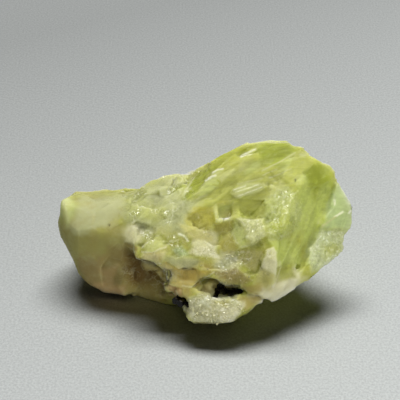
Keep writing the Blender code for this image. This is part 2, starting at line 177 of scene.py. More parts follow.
# Patches of colour, painted one over the other: middle, radius, length over width along
# the prism's grain, colour and strength.
PATCHES = {
    "left body": ((-22, 4, 10), 12, 1, MOSS, 0.95),
    "left foot": ((-20, -2, 5), 6.5, 1, CLAY, 0.85),
    "left foot right": ((-16, -3, 9), 4.2, 1, TAN, 0.9),
    "left foot rose": ((-19, -3, 1.5), 3.5, 1, ROSE, 0.6),
    "left top": ((-20.5, 4, 18), 5.5, 1, MILK, 0.9),
    "left milk": ((-22.2, 2.2, 17.2), 3.6, 1.6, MILK, 0.9),
    "left green corner": ((-27, 4.2, 16.2), 2.8, 1, DEEP_OLIVE, 0.55),
    "left green rim": ((-22, 6, 18.5), 1.2, 4, OLIVE, 0.6),
    "middle": ((-8, 2, 18), 9, 1, IVORY, 1.0),
    "middle cream top": ((-6, 9, 20.5), 3.6, 1, FROST_AND_HIGHLIGHT, 0.5),
    "middle rim": ((-14, -2.5, 16), 2.4, 1, CREAM, 0.8),
    "middle cloud": ((-10, 1.2, 18.2), 2.8, 1, LEAF, 0.5),
    "shelf": ((-8, -5.5, 15), 4.6, 1, BUFF, 0.7),
    "shelf knob": ((-9.3, -4.4, 15.8), 2.0, 1, LEAF, 0.6),
    "shelf flat": ((-5, -7.6, 14.2), 2.8, 1, OLIVE, 0.6),
    "cream patch": ((-0.3, -5, 16.8), 2.8, 1, CREAM, 0.9),
    # The undercut's dark umber is partly the stone's brown and partly painted shade under the shelf.
    "undercut": ((-11.5, -4, 7), 6.0, 1, UMBER, 0.9),
    "undercut left": ((-15, -3.4, 10), 2.6, 1, UMBER, 0.7),
    "honey pocket": ((-3.4, -8.6, 11), 3.0, 1, HONEY, 0.95),
    "main prism": ((8, 6, 24), 12, 1, LEAF, 0.95),
    "prism left stripe": ((-2.0, 7.6, 21.8), 1.3, 5, DEEP_OLIVE, 0.7),
    "long blade": ((2.4, 5.4, 24), 1.8, 4, FROST_AND_HIGHLIGHT, 0.55),
    "second stripe": ((6.2, 8.8, 26), 0.9, 5, OLIVE, 0.6),
    "prism cap": ((13, 10, 27.2), 3.2, 1.3, DEEP_OLIVE, 0.7),
    "prism back rim": ((7, 12, 27), 2.2, 4, CAP, 0.85),
    "cap rim": ((10, 11.8, 27.8), 1.2, 4, DEEP_OLIVE, 0.8),
    "pale facet": ((17, 5.2, 25.4), 3.2, 1, LIME, 0.9),
    "striated patch": ((8.3, 2.4, 23.6), 2.2, 1.8, FROST_AND_HIGHLIGHT, 0.9),
    "olive pit": ((7.9, -0.4, 20.8), 2.6, 1, DEEP_OLIVE, 0.9),
    "box pit": ((3.4, 0.0, 20.2), 1.8, 1, YELLOW, 0.8),
    "yellow pit": ((-1.6, -1.4, 18.8), 2.8, 1, YELLOW, 0.9),
    "pale knob": ((7.6, -4.5, 18.4), 3.0, 1, FROST_AND_HIGHLIGHT, 0.75),
    "khaki": ((4.1, -5.4, 15.8), 2.0, 1, KHAKI, 0.7),
    "grey white": ((3.8, -8, 13.8), 2.8, 1, CREAM, 0.75),
    "centre face": ((13.6, -2.2, 21.2), 3.8, 1, LIME, 0.85),
    "centre glow": ((14.4, -2.2, 21.2), 1.4, 1, YELLOW, 0.5),
    "centre top": ((13.4, 1.6, 23.4), 2.2, 1, FROST_AND_HIGHLIGHT, 0.6),
    "right face": ((20, 1, 18.5), 6, 1, FERN, 0.9),
    "right dark": ((22, 5.2, 21.6), 3.4, 1, DEEP_OLIVE, 0.85),
    "right low": ((15.5, -6.5, 13), 4, 1, FERN, 0.85),
    "right end": ((27, 3.2, 18), 4.4, 1, MINT, 0.95),
    "right foot": ((23, -3.2, 11.5), 4.4, 1, MINT, 0.7),
    "lens": ((12.1, -9.8, 14), 2.3, 1, CREAM, 0.95),
    "hollow": ((3.5, -8.2, 9.4), 3.6, 1, FAWN, 0.7),
    "lip": ((1.8, -14, 7.6), 4.6, 1, MILK, 0.9),
    "lip green": ((0.4, -14.6, 7.2), 1.8, 1, LEAF, 0.2),
    "lip under": ((1, -12, 3.6), 4.2, 1, TAN, 0.8),
    "lip left": ((-4.8, -9.8, 8), 2.4, 1, UMBER, 0.6),
    # The rim's chalk-pale colour is partly the stone's own and partly a painted highlight where it faces
    # down into shade.
    "rim": ((13.5, -10, 9), 3.2, 2, CHALK, 0.9),
    "back middle": ((-5, 17, 13), 7, 1, FROST_AND_HIGHLIGHT, 0.7),
    "back prism": ((12, 16, 20), 8, 1, LEAF, 0.9),
    "back end": ((24, 14, 14), 6, 1, LIME, 0.7),
    "back foot": ((4, 16, 3), 8, 1, MOSS, 0.8),
    "back cream": ((3, 17, 8), 4, 1.5, CREAM, 0.6),
    "back left": ((-15, 15, 8), 6, 1, STRAW, 0.7),
}

# The lump's own front view, which its faces and lines are laid out in.
FRONT_MIDDLE = Vector((-1.2, 10.8, 13.9)) * MM
FRONT_TILT = math.radians(38)
FRONT_DISTANCE = 0.24
FRONT_BACK = Vector((0, -math.cos(FRONT_TILT), math.sin(FRONT_TILT)))
FRONT_UP = Vector((0, math.sin(FRONT_TILT), math.cos(FRONT_TILT)))
FRONT_EYE = FRONT_MIDDLE + FRONT_BACK * FRONT_DISTANCE

# Flat crystal faces, as they lie in the front view, across and up from its middle: colour,
# how flat the face is, how far it stands out, and its corners. One that isn't flat is a soft
# patch of colour.
FACES = {
    "left milky top": (MILK, 0, 0, [(-25.5, -2.5), (-24, 0), (-16.5, -0.5), (-17, -3), (-22, -4.5)]),
    # The left corner's pale green is partly its own colour and partly painted light, lighter where it faces
    # away from the lamps.
    "left corner": (PALE_GREEN, 0, 0, [(-28.5, -1), (-26.5, 1), (-25.5, -1), (-26.5, -5.5)]),
    "left top rim": (SAGE, 0, 0, [(-27, 1), (-22, 1.6), (-16, 1.6), (-16, 0.6), (-22, 0.6)]),
    "left low right": (BARK, 0, 0, [(-18.5, -9), (-14, -8.5), (-12, -15), (-16.5, -18.5), (-19, -14)]),
    "left crystal right": (MOSS, 0, 0, [(-18, -5), (-15.4, -5.5), (-14.8, -9), (-17.5, -8.5)]),
    "left rosy facet": (DUSK, 0.7, 0.05, [(-20, -14), (-16.2, -13), (-18.2, -18.4)]),
    "left tan facet": (TAN, 0.5, 0, [(-16.4, -17.6), (-14.4, -14.6), (-12.6, -18), (-13.2, -20)]),
    "undercut facet": (BARK, 0.8, 0, [(-12.6, -16.4), (-9.6, -15.4), (-7, -18), (-9.6, -19.4)]),
    "left rosy foot": (ROSE, 0, 0, [(-21, -17), (-15, -17.5), (-15.5, -19.5), (-20, -18.5)]),
    "undercut shade": (UMBER, 0, 0, [(-15, -10), (-11.5, -12), (-8.6, -15), (-10, -18), (-14.4, -16.4)]),
    "undercut foot": (TAN, 0, 0, [(-14, -17.5), (-8, -16.5), (-5.5, -19.5), (-8, -21), (-13, -20)]),
    "back olive": (OLIVE, 0, 0, [(0, 6), (4, 8.4), (10, 12), (12.5, 12.5), (10, 10.5), (4.5, 7.4)]),
    "cap": (CAP, 0.8, 0, [(11.5, 10.5), (13.5, 11.5), (18.5, 11.2), (19.5, 10), (15.5, 6.8), (12.5, 6.8)]),
    "pale facet": (LEAF, 0.9, 0.04, [(19, 9.2), (20, 9.9), (23.4, 8), (18.2, 3), (16.2, 4.5)]),
    "facet top": (FROST_AND_HIGHLIGHT, 0.5, 0.03, [(19.6, 9.5), (21.4, 9.2), (21.2, 8.6), (20, 8.6)]),
    "stripe left": (DEEP_OLIVE, 0.7, -0.05, [(-1.4, 4), (0.6, 5.6), (0.8, 3.6), (-1.8, 0.2), (-3.6, 0.2)]),
    "stripe top": (DEEP_OLIVE, 0.6, -0.05, [(0.4, 5.2), (3.4, 7), (3.8, 6.6), (1.2, 5)]),
    "long blade": (LIME, 0.9, 0.08, [(-0.6, 0.2), (1, 3.8), (3.8, 4.6), (4.2, 3.6), (2.2, 1.6)]),
    "second blade": (OLIVE, 0.8, 0.02, [(2.6, 5.4), (5.4, 7.2), (9.4, 8.2), (7.2, 6.4), (3.8, 5.4)]),
    "third blade": (LEAF, 0.8, 0.05, [(8, 8.6), (11.3, 10.2), (10.2, 10.5)]),
    "fourth blade": (LIME, 0.8, 0.05, [(8.6, 4.8), (10.4, 7.6), (12.4, 7.8), (12, 6.6), (9.8, 4.8)]),
    "prism middle": (LEAF, 0.5, 0, [(4, 2.8), (5.8, 4.4), (12.4, 5.6), (16, 3.2), (9, 3.4), (4.4, 1)]),
    "striated patch": (SAGE, 0.9, 0.06, [(6.4, 2), (9.4, 3.4), (13, 3), (12, 1.6), (8, 0.6)]),
    "patch foot": (LEAF, 0.5, 0, [(8.6, 0.4), (13.4, 2), (14.4, 1.6), (11.2, -0.2)]),
    "olive pit": (LEAF, 0.9, -0.1, [(6.4, 0.2), (13, 0), (11.6, -1.6), (9.4, -3.2), (6.6, -1.4)]),
    "pit floor": (OLIVE, 0, 0, [(8.6, -0.6), (11, -0.8), (9.4, -2.6)]),
    "pit side": (LEAF, 0.7, -0.05, [(10.4, -2.8), (13, -0.8), (13.2, -3)]),
    "pale fin": (LIME, 0.9, 0.1, [(13, 0.2), (14.4, -1.2), (14.6, -2.4), (13.2, -3.2)]),
    "box pit": (LIME, 0.6, -0.05, [(3.5, -1), (6.5, -0.4), (6.2, -3), (3.7, -3.7)]),
    "box corner": (KHAKI, 0, 0, [(4.6, -2.6), (6.2, -2.2), (6.2, -3.6), (4.8, -3.6)]),
    "box side": (LEAF, 0.6, 0, [(6.2, -0.6), (7.8, -1.4), (8, -3), (6.4, -3)]),
    "box left rim": (FROST_AND_HIGHLIGHT, 0.5, 0.1, [(3, -0.8), (3.4, -2.8), (3, -4), (2.6, -2.5)]),
    "box front rim": (FROST_AND_HIGHLIGHT, 0.5, 0.1, [(3, -3.8), (6.4, -3.6), (5.8, -4.6), (3.2, -4.4)]),
    "yellow face": (YELLOW, 0.85, -0.05, [(-2.6, -3.8), (-0.2, -1.6), (2.6, -1.4), (3, -4.4), (1.4, -6.8)]),
    "yellow face low": (KHAKI, 0.7, 0, [(3, -4.6), (6.6, -4.2), (6, -6.6), (4.4, -7.2), (2.6, -6.2)]),
    "pale knob": (FROST_AND_HIGHLIGHT, 0.75, 0.08, [(7.2, -3.8), (12.8, -3.8), (13.2, -7.2), (10.4, -8.8), (8.8, -6)]),
    "knob left": (LIME, 0.85, 0.08, [(7.2, -4.8), (8.8, -6), (9.2, -9.2), (8.2, -9.6), (6.4, -6.5)]),
    "sparkling face": (LIME, 0, 0, [
        (15, 1.4), (17.4, 2.6), (21.2, -1.2), (19.6, -6), (16, -8.2), (13.8, -8), (13.2, -3.6),
    ]),
    "yellow glow": (GLOW, 0, 0, [(14, -5.4), (17.6, -3.4), (18.8, -4.5), (16.5, -7)]),
    "below sparkling": (FERN, 0.6, 0, [(13.6, -8.2), (18, -7.6), (15.6, -13.6), (15.2, -10.5)]),
    "shoulder": (CAP, 0.8, 0, [(20.8, 5.6), (23.5, 7.9), (26, 6.4), (25.8, 3.4), (22.4, 2.2)]),
    "right face": (FERN, 0.8, 0, [(19.6, 2.6), (22.4, 2.4), (21.6, -2.8), (16, -13.2), (20.5, -3)]),
    "dark band": (FERN, 0.6, -0.08, [(24.2, 2.6), (26.6, 4), (25, -1.6), (19.4, -11.4), (22.4, -2.8)]),
    "end slab": (MINT, 0.85, 0, [(27, 3.4), (31, 2), (32, -2.4), (30.5, -6), (24.4, -5.6), (26.2, -1.8)]),
    "low slab": (PALE_MINT, 0.8, 0, [(24.4, -5.8), (30, -6), (30, -10), (22.4, -14.5), (21.6, -10)]),
    "slab foot": (LEAF, 0, 0, [(24.8, -9.2), (27.6, -9), (28, -10), (25.2, -11.2)]),
    "lens": (CREAM, 0.95, 0.15, [
        (13.2, -10), (14.6, -9.4), (15.4, -10.4), (15.4, -15), (14.4, -15.8), (12.2, -13.4),
    ]),
    "lens tail": (STRAW, 0.7, 0, [(12, -13.4), (15.2, -15.2), (13.6, -18), (10.8, -16.6)]),
    "right of lens": (OLIVE, 0.6, 0, [(15.6, -13.6), (18.4, -12.4), (19.2, -15.4), (15.2, -16.4)]),
    "left of lens": (STRAW, 0.7, 0, [(8, -9.8), (13, -10), (11, -14.4), (7.8, -12.2)]),
    "khaki face": (KHAKI, 0.9, 0, [(3.6, -8.6), (5.8, -6.8), (7.8, -10), (4.8, -10.6)]),
    # The rim's chalk-pale colour is partly the stone's own and partly a painted highlight where it faces
    # down into shade.
    "right rim": (CHALK, 0.5, 0, [(13.6, -19.2), (18, -16.4), (15.6, -19.4)]),
    "cream crest": (STRAW, 0.75, 0.06, [(-4.4, -4.6), (-1, -5.6), (2.2, -6.6), (3, -8.6), (-2.4, -7.6)]),
    "cream patch": (CREAM, 0.8, 0.06, [(-1.4, -9.4), (2.6, -9.2), (4, -11.8), (0, -11.2), (-2.6, -10.8)]),
    "green dent": (OLIVE, 0.6, -0.08, [(-7.4, -7.8), (-5, -6.6), (-3.2, -9.2), (-6, -9.4)]),
    "sparkling dent": (MINT, 0.4, 0, [(-5.6, -10), (-3.7, -9.2), (-2.2, -11.2), (-4.4, -11.2)]),
    "round knob": (SAGE, 0.7, 0.1, [(-11.4, -9.6), (-9.6, -7.8), (-7, -8.4), (-8, -10.4), (-10.5, -10.6)]),
    "shelf front": (BISQUE, 0.8, 0, [(-11.6, -10.8), (-7, -10.4), (-8, -12.8), (-11.4, -12)]),
    "shelf foot": (FAWN, 0.7, -0.05, [(-11.4, -12.4), (-7.8, -13.2), (-8.4, -14.4), (-11, -13.8)]),
    "green flat": (MILK, 0.85, 0.03, [(-7, -11.4), (-1, -11.6), (0.6, -12.4), (-2.6, -14), (-6, -13)]),
    "middle left end": (CREAM, 0.8, 0.06, [(-14.8, -8.6), (-14.2, -5.4), (-12.9, -5), (-13.4, -8.4)]),
    "under left end": (TAN, 0.5, 0, [(-15.2, -8.8), (-12.4, -9.4), (-13, -10.6)]),
    "middle left": (SAGE, 0, 0, [(-15, 1.5), (-11, 2), (-10.6, -3), (-14.4, -4)]),
    "middle glow": (IVORY, 0.6, 0.03, [(-10, 0.2), (-7, 1), (-7, -1.2), (-9, -1.6)]),
    "middle back": (IVORY, 0.5, 0, [(-4.6, 0), (-1.2, -0.6), (-3.6, -4.4)]),
    "brown rubble": (TAN, 0, 0, [(-0.2, -12.4), (2, -12.4), (3.2, -14.4), (0.5, -14.5)]),
    "honey pocket": (HONEY, 0.5, -0.1, [
        (-6.4, -14.2), (-2.8, -13.8), (2.2, -14.4), (-0.6, -16.2), (-4.6, -15.8),
    ]),
    "straw tongue": (FAWN, 0.6, 0.05, [
        (-8.6, -14.4), (-7, -12.4), (-4.6, -13.8), (-3.2, -17.4), (-6.6, -16.8),
    ]),
    "rosy tongue": (ROSE, 0.6, 0, [(-7.4, -16.6), (-3.8, -17.8), (-3.8, -19.4), (-6, -19)]),
    "ledge": (TAN, 0.7, 0, [(-4.6, -15.8), (-0.6, -16.4), (-3, -17.6)]),
    "grey rubble": (MILK, 0.4, 0.04, [(2.8, -13), (5.4, -11), (7.2, -11.4), (5.2, -14.4)]),
    "low rubble": (BARK, 0.4, 0, [(2.8, -14.4), (7.2, -13.6), (10.4, -16), (8.5, -17.2), (3.8, -15.8)]),
    "hollow floor": (TAN, 0, 0, [(-1, -18.2), (1, -16.5), (3.4, -17.4), (1.5, -18.9)]),
    "right ramp": (TAN, 0.7, 0, [(8.6, -17.2), (12.4, -16.8), (12.4, -18.2), (9.6, -18.6)]),
    "ramp foot": (TAN, 0.7, -0.03, [(7.2, -19.4), (11.6, -19), (12.8, -19.8), (9.2, -22.2)]),
    "lip left": (TAN, 0.4, 0, [(-4.4, -17.2), (-2, -16.8), (-1.4, -19), (-3.6, -20.4)]),
    "lip": (CREAM, 0.3, 0, [(-4, -20.4), (0, -19), (9, -20.4), (8, -23), (3.6, -25.6), (-1.4, -24.6)]),
    "lip glint": (GLINT, 0.8, 0.1, [(-0.4, -20.6), (1.6, -19.2), (1.8, -21.4)]),
    "lip dent": (KHAKI, 0.3, -0.1, [(3, -20.4), (6, -19.6), (5, -21.4)]),
    "lip end": (CHALK, 0.7, 0.08, [(4, -22), (9, -21), (6.4, -24.6), (4, -24.4)]),
}

# The faces that are set with tiny crystals, and glitter.
GLITTERING = (
    "sparkling face", "pale knob", "grey rubble", "cream patch",
    "sparkling dent", "green dent", "lip", "low slab",
)

# The faces that crumbs of crystal lie on.
GRITTY = ("grey rubble", "brown rubble", "low rubble", "lip", "lip end", "sparkling dent")

# Bright edges, partly pale stone and partly painted highlight, glints, which are painted
# highlights, dark cracks and specks in the front view: colour, width, height and course.
LINES = {
    "left crease": (FROST_AND_HIGHLIGHT, 0.32, 0.1, [(-3.6, 0.8), (-2.4, 2.6), (-1.2, 4.4)]),
    "long blade top": (GLINT, 0.26, 0.08, [(1.2, 3.8), (2, 4.4), (3.2, 4.8)]),
    "long blade foot": (FROST_AND_HIGHLIGHT, 0.28, 0.06, [(-0.6, 0.2), (1.4, 1)]),
    "loop": (OLIVE, 0.2, -0.06, [(2.6, 3), (3.8, 2.8), (4, 3.6), (3.4, 4)]),
    "second blade edge": (GLINT, 0.28, 0.08, [(2.6, 5.4), (3.6, 6), (4.6, 6.2)]),
    "second blade line": (LEAF, 0.2, 0.05, [(5.2, 7), (7.2, 7.6)]),
    "third blade edge": (GLINT, 0.26, 0.06, [(8.2, 8.8), (9.6, 9.4), (11.2, 10.2)]),
    "cap rim": (FROST_AND_HIGHLIGHT, 0.26, 0.05, [(13.6, 11.6), (17.6, 11.5)]),
    "cap foot": (FROST_AND_HIGHLIGHT, 0.24, 0.08, [(12.4, 5.8), (15.6, 7.4), (19, 9.4)]),
    "facet stria high": (FROST_AND_HIGHLIGHT, 0.2, 0.05, [(12.6, 5), (15.4, 6.2)]),
    "facet stria low": (FROST_AND_HIGHLIGHT, 0.2, 0.06, [(14, 4.4), (18.2, 6.2)]),
    "prism stria": (FROST_AND_HIGHLIGHT, 0.2, 0.05, [(7.4, 3.2), (12.4, 4.4)]),
    "patch stria front": (GLINT, 0.13, 0.06, [(7.6, 0.8), (12.4, 2.6)]),
    "patch stria middle": (GLINT, 0.13, 0.06, [(7.2, 1.6), (11.6, 3)]),
    "patch stria back": (GLINT, 0.13, 0.05, [(6.8, 2), (9.2, 2.8)]),
    "knob rim": (FROST_AND_HIGHLIGHT, 0.32, 0.08, [(6.6, -6.6), (7.2, -8.4), (8.2, -9.4), (9.4, -9.2)]),
    "round knob rim": (CREAM, 0.26, 0.08, [(-11.6, -10.4), (-9.4, -10.6), (-6.8, -9.4)]),
    "shelf rim": (CREAM, 0.26, 0.06, [(-11.6, -12), (-9.6, -12.8), (-8, -12.8)]),
    "crest glint": (GLINT, 0.34, 0.08, [(-4.2, -6.8), (-3.2, -7.2), (-2.4, -8.2)]),
    "crest crack": (KHAKI, 0.22, -0.08, [(-3.6, -7.4), (-2.6, -9.4)]),
    "ledge edge": (CREAM, 0.2, 0.05, [(-3.6, -17.2), (-1.4, -17.4), (1.4, -15.4), (2.8, -14.4)]),
    "ramp crease": (TAN, 0.26, -0.12, [(8.4, -17.2), (9.6, -18.2), (11.4, -18.8)]),
    "slab glint top": (GLINT, 0.28, 0.05, [(26.8, 0), (27, -1)]),
    "slab glint low": (GLINT, 0.36, 0.08, [(27, -3.4), (28.6, -2.4)]),
    "slab glint end": (GLINT, 0.28, 0.05, [(29.8, -2.6), (30.4, -2)]),
    "slab edge": (FROST_AND_HIGHLIGHT, 0.32, 0.05, [(24.4, -5.2), (27.2, -3.4)]),
    "speck on the left crystal": (INK, 0.3, 0, [(-18.2, -4.9), (-18.1, -5.1)]),
    "speck on the prism": (INK, 0.3, 0, [(19, 4), (19, 3.8)]),
    # The rim's chalk-pale colour is partly the stone's own and partly a painted highlight where it faces
    # down into shade.
    "foot rim": (CHALK, 0.36, 0.05, [(16, -19), (18.4, -18), (23, -15.4)]),
}

# How far shapes of the front view fade to each side of their edge: a face that is cut, one
# that is painted, a line and a soft patch. A face at least as flat as CRISP fades half as far.
CUT_EDGE = 0.3
PAINT_EDGE = 0.6
LINE_EDGE = 0.15
PATCH_EDGE = 1.2
CRISP = 0.9

# How squarely a point faces the front view where it starts to count as seen and where it
# fully does, how far off the surface its line of sight starts, outwards and towards the eye,
# and how well seen a point is where the named faces start to shape it and where they fully do.
FACING = (0.02, 0.25)
SIGHT_OUT = 0.1 * MM
SIGHT_ON = 0.15 * MM
FIRM = (0.5, 1.0)

# The heights above the base between which wear and relief come in, so that it stays flat.
WEAR_RISE = (0.1 * MM, 0.8 * MM)
RELIEF_RISE = (0.1 * MM, 1.0 * MM)

# The soft edges of balls, over their radius, how far one pass of wear draws a point towards
# its neighbours' mean, and the tourmaline's passes.
BALL_EDGE = 0.18
POLISHED_EDGE = 0.1
BEND_EDGE = 0.4
ROUNDING_SHARE = 0.4
MELTING_SHARE = 0.5
TOURMALINE_SHARE = 0.3
TOURMALINE_ROUNDS = 3

# Facets: the rounds in which their cells settle, how much a point's normal counts in finding
# its cell, the deepest cut of a facet and of a named face, and the fewest points, counted by
# their shares, that a named face is cut from.
CELL_ROUNDS = 3
NORMAL_PULL = 0.6
FACET_CUT = 0.6 * MM
FACE_CUT = 0.9 * MM
FEWEST_POINTS = 5

# Relief: how much of it a flat named face loses, how far facets differ in lightness, which
# paints light reflected inside the crystal, the seed of the facets everywhere else, and the
# left crystal's slow swell: size, seed and height.
CALM = 0.7
FACET_TINT = 0.6
REST_SEED = 99
SWELL = (5 * MM, 2, 0.12 * MM)

# Ridges and hollows: the passes of wear that the surface is held against, and how far a
# point stands out there when its mark is full. The material paints a highlight on the ridges
# and shade in the hollows from these marks.
EDGE_MARKS = {"ridge": (1, 0.03 * MM), "hollow": (40, 0.5 * MM)}

# Paint: how strongly a named face covers what lies under it, where a patch fades, the noise
# that bends the borders of patches and of faces (size, seeds and reach), and the noise that
# picks where the crust glitters (size, seed, and from where to where it comes in).
FACE_STRENGTH = 0.85
PATCH_FADE = (-1.2, -0.6)
PATCH_WANDER = ((2.2 * MM, 5, 0.22), (0.8 * MM, 6, 0.12))
FACE_DRIFT = (1.5 * MM, (7, 8), 0.25)
CRUST_GLITTER = (3 * MM, 9, (0.15, 0.45))

# ---- settings


def a_length(name, about, usual, least=0.0):
    return FloatProperty(name=name, description=about, default=usual, min=least, unit="LENGTH")


def a_share(name, about, usual):
    return FloatProperty(name=name, description=about, default=usual, min=0.0, subtype="FACTOR")


def a_count(name, about, usual):
    return IntProperty(name=name, description=about, default=usual, min=0)


def a_colour(name, about, usual):
    return FloatVectorProperty(
        name=name, description=about, default=usual, min=0.0, max=1.0, subtype="COLOR"
    )


class LumpSettings(bpy.types.PropertyGroup):
    voxel: a_length("Grain", "Edge of a face of the finished lump", 0.00027, 0.0002)
    relief: a_share("Relief", "Height of the fine steps and facets, over the tabled one", 1.0)
    rounding: a_count("Rounding", "Passes that take the sharpness off every edge", 2)
    melting: a_count("Melting", "Passes that soften the lumps of the crust", 12)
    polishing: a_count("Polishing", "Passes that round the smooth left crystal", 14)
    bending: a_count("Bending", "Passes that round the soft bends", 150)
    roughness: a_share("Roughness", "Roughness of the glassy faces", 0.15)
    glow: a_share("Glow", "Share of the light that spreads inside the crystal", 1.0)


class CrumbSettings(bpy.types.PropertyGroup):
    density: FloatProperty(
        name="Density", description="Crumbs to a square metre of grit", default=1.0e6, min=0.0
    )
    least: a_length("Least", "Width of the smallest crumb", 0.00025)
    most: a_length("Most", "Width of the largest crumb", 0.0006)
    seed: a_count("Seed", "Which scatter of crumbs", 4)


class TourmalineSettings(bpy.types.PropertyGroup):
    colour: a_colour("Colour", "Colour of the black tourmaline", (0.006, 0.005, 0.004))
    voxel: a_length("Grain", "Edge of a face of the finished crystals", 0.00007, 0.00004)


class StageSettings(bpy.types.PropertyGroup):
    floor: a_colour("Floor", "Colour of the floor", (0.60, 0.625, 0.61))
    elevation: FloatProperty(
        name="Elevation", description="How far the camera looks down",
        default=FRONT_TILT, subtype="ANGLE",
    )
    distance: a_length("Distance", "From the camera to the lump", FRONT_DISTANCE)


# ---- mesh helpers


def link(name, data):
    made = bpy.data.objects.new(name, data)
    bpy.context.scene.collection.objects.link(made)
    return made


def merged_copy(node, name):
    """A copy of a solid's mesh with its loose triangles joined up."""
    mesh = node.data.copy()
    mesh.name = name
    mesh.materials.clear()
    shape = bmesh.new()
    shape.from_mesh(mesh)
    bmesh.ops.remove_doubles(shape, verts=shape.verts, dist=LOOSE_GAP)
    shape.to_mesh(mesh)
    shape.free()
    return link(name, mesh)


def applied(piece):
    """The piece with its modifiers made part of a plain mesh."""
    bpy.context.view_layer.update()
    graph = bpy.context.evaluated_depsgraph_get()
    mesh = bpy.data.meshes.new_from_object(piece.evaluated_get(graph))
    piece.modifiers.clear()
    piece.data = mesh
    return piece


def remeshed(piece, voxel):
    remesh = piece.modifiers.new("Even grain", "REMESH")
    remesh.mode = "VOXEL"
    remesh.voxel_size = voxel
    remesh.adaptivity = 0.0
    return applied(piece)


def rows_of(items, key, width, kind=float):
    values = np.empty(len(items) * width, kind)
    items.foreach_get(key, values)
    return values.reshape(-1, width)


def points_of(mesh):
    return rows_of(mesh.vertices, "co", 3)


def normals_of(mesh):
    return rows_of(mesh.vertex_normals, "vector", 3)


def edges_of(mesh):
    return rows_of(mesh.edges, "vertices", 2, np.int64)


def area_of(mesh):
    return sum(face.area for face in mesh.polygons)


def set_points(mesh, points):
    mesh.vertices.foreach_set("co", points.astype(np.float32).ravel())
    mesh.update()


def store(mesh, name, values, kind="FLOAT", key="value"):
    """Something for each vertex, for a material to read."""
    made = mesh.attributes.new(name, kind, "POINT")
    made.data.foreach_set(key, values.astype(np.float32).ravel())


def sums_by(groups, values, count):
    """The values, column by column, added up in each numbered group."""
    return np.column_stack([np.bincount(groups, values[:, k], count) for k in range(3)])


def worn(points, edges, shares, rounds):
    """The points drawn towards their neighbours' mean, each by its share, some rounds over."""
    ends = np.concatenate([edges, edges[:, ::-1]])
    count = np.bincount(ends[:, 0], minlength=len(points))
    for _ in range(rounds):
        mean = sums_by(ends[:, 0], points[ends[:, 1]], len(points)) / count[:, None]
        points = points + (mean - points) * shares[:, None]
    return points


def smooth_step(values, low, high):
    share = np.clip((values - low) / (high - low), 0, 1)
    return share * share * (3 - 2 * share)


def cloud(points, size, seed):
    """Smooth noise, about -1 to 1, whose lumps are of that size in metres."""
    shift = Vector((seed * 3.1, seed * 7.7, seed * 5.3))
    return np.array([noise.noise(Vector(point) / size + shift) for point in points])


def along_grain(points, grain, stretch):
    """The points squeezed along the grain, so that what is round there is long on the lump."""
    grain = np.array(grain)
    return points + (1 / stretch - 1) * (points @ grain)[:, None] * grain


def from_middle(points, middle, radius, stretch=1):
    """How far points lie from a ball's middle, over its radius. It may be long on the grain."""
    away = along_grain(points - np.array(middle) * MM, PRISM_GRAIN, stretch)
    return np.linalg.norm(away, axis=1) / (radius * MM)


def in_balls(points, balls, edge=BALL_EDGE):
    """From 0 outside the balls to 1 inside, with a soft edge."""
    inside = np.zeros(len(points))
    for middle, radius in balls:
        share = smooth_step(-from_middle(points, middle, radius), -1 - edge, -1 + edge)
        inside = np.maximum(inside, share)
    return inside


def moved(points):
    """The points after every small move, which fades out towards its radius."""
    for middle, radius, way in MOVES.values():
        share = smooth_step(-from_middle(points, middle, radius), -1, 0)
        points = points + share[:, None] * np.array(way) * MM
    return points


# ---- facets


def facet_picks(chance, points, area, cell, stretch):
    """The numbers of points picked at random, one for each facet of that width and length."""
    return chance.choice(len(points), int(area / (cell * cell * stretch)), replace=False)


def nearest_seeds(points, seeds):
    """The number of the seed that lies nearest each point."""
    tree = kdtree.KDTree(len(seeds))
    for place, seed in enumerate(seeds):
        tree.insert(seed, place)
    tree.balance()
    return np.array([tree.find(point)[1] for point in points])


def broken_facets(points, area, seed, grain, cell, stretch, step, tilt):
    """Broken facets over a surface: the height there, level and tilt by facet, and its painted reflection.
    """
    chance = np.random.default_rng(seed)
    picks = facet_picks(chance, points, area, cell * MM, stretch)
    squeezed = along_grain(points, grain, stretch)
    nearest = nearest_seeds(squeezed, squeezed[picks])
    levels = chance.normal(0, step * MM, len(picks))
    slopes = chance.normal(0, tilt, (len(picks), 3))
    shades = chance.uniform(-1, 1, len(picks))
    away = points - points[picks][nearest]
    across = away - (away @ np.array(grain))[:, None] * np.array(grain) * (1 - 1 / stretch)
    return levels[nearest] + (slopes[nearest] * across).sum(1), shades[nearest]


def cut_facets(points, normals, area, seed, grain, cell, stretch, weight):
    """Flattens the surface, cell by cell, onto the plane that lies best in each cell."""
    chance = np.random.default_rng(seed)
    squeezed = along_grain(points + normals * (cell * MM) * NORMAL_PULL, grain, stretch)
    seeds = squeezed[facet_picks(chance, points, area, cell * MM, stretch)]
    count = len(seeds)
    for _ in range(CELL_ROUNDS):
        own = nearest_seeds(squeezed, seeds)
        size = np.maximum(np.bincount(own, minlength=count), 1)[:, None]
        seeds = sums_by(own, squeezed, count) / size
    middles = sums_by(own, points, count) / size
    facing = sums_by(own, normals, count)
    facing /= np.linalg.norm(facing, axis=1)[:, None] + 1e-9
    off = ((points - middles[own]) * facing[own]).sum(1)
    off = np.clip(off, -FACET_CUT, FACET_CUT) * weight
    return points - facing[own] * off[:, None]


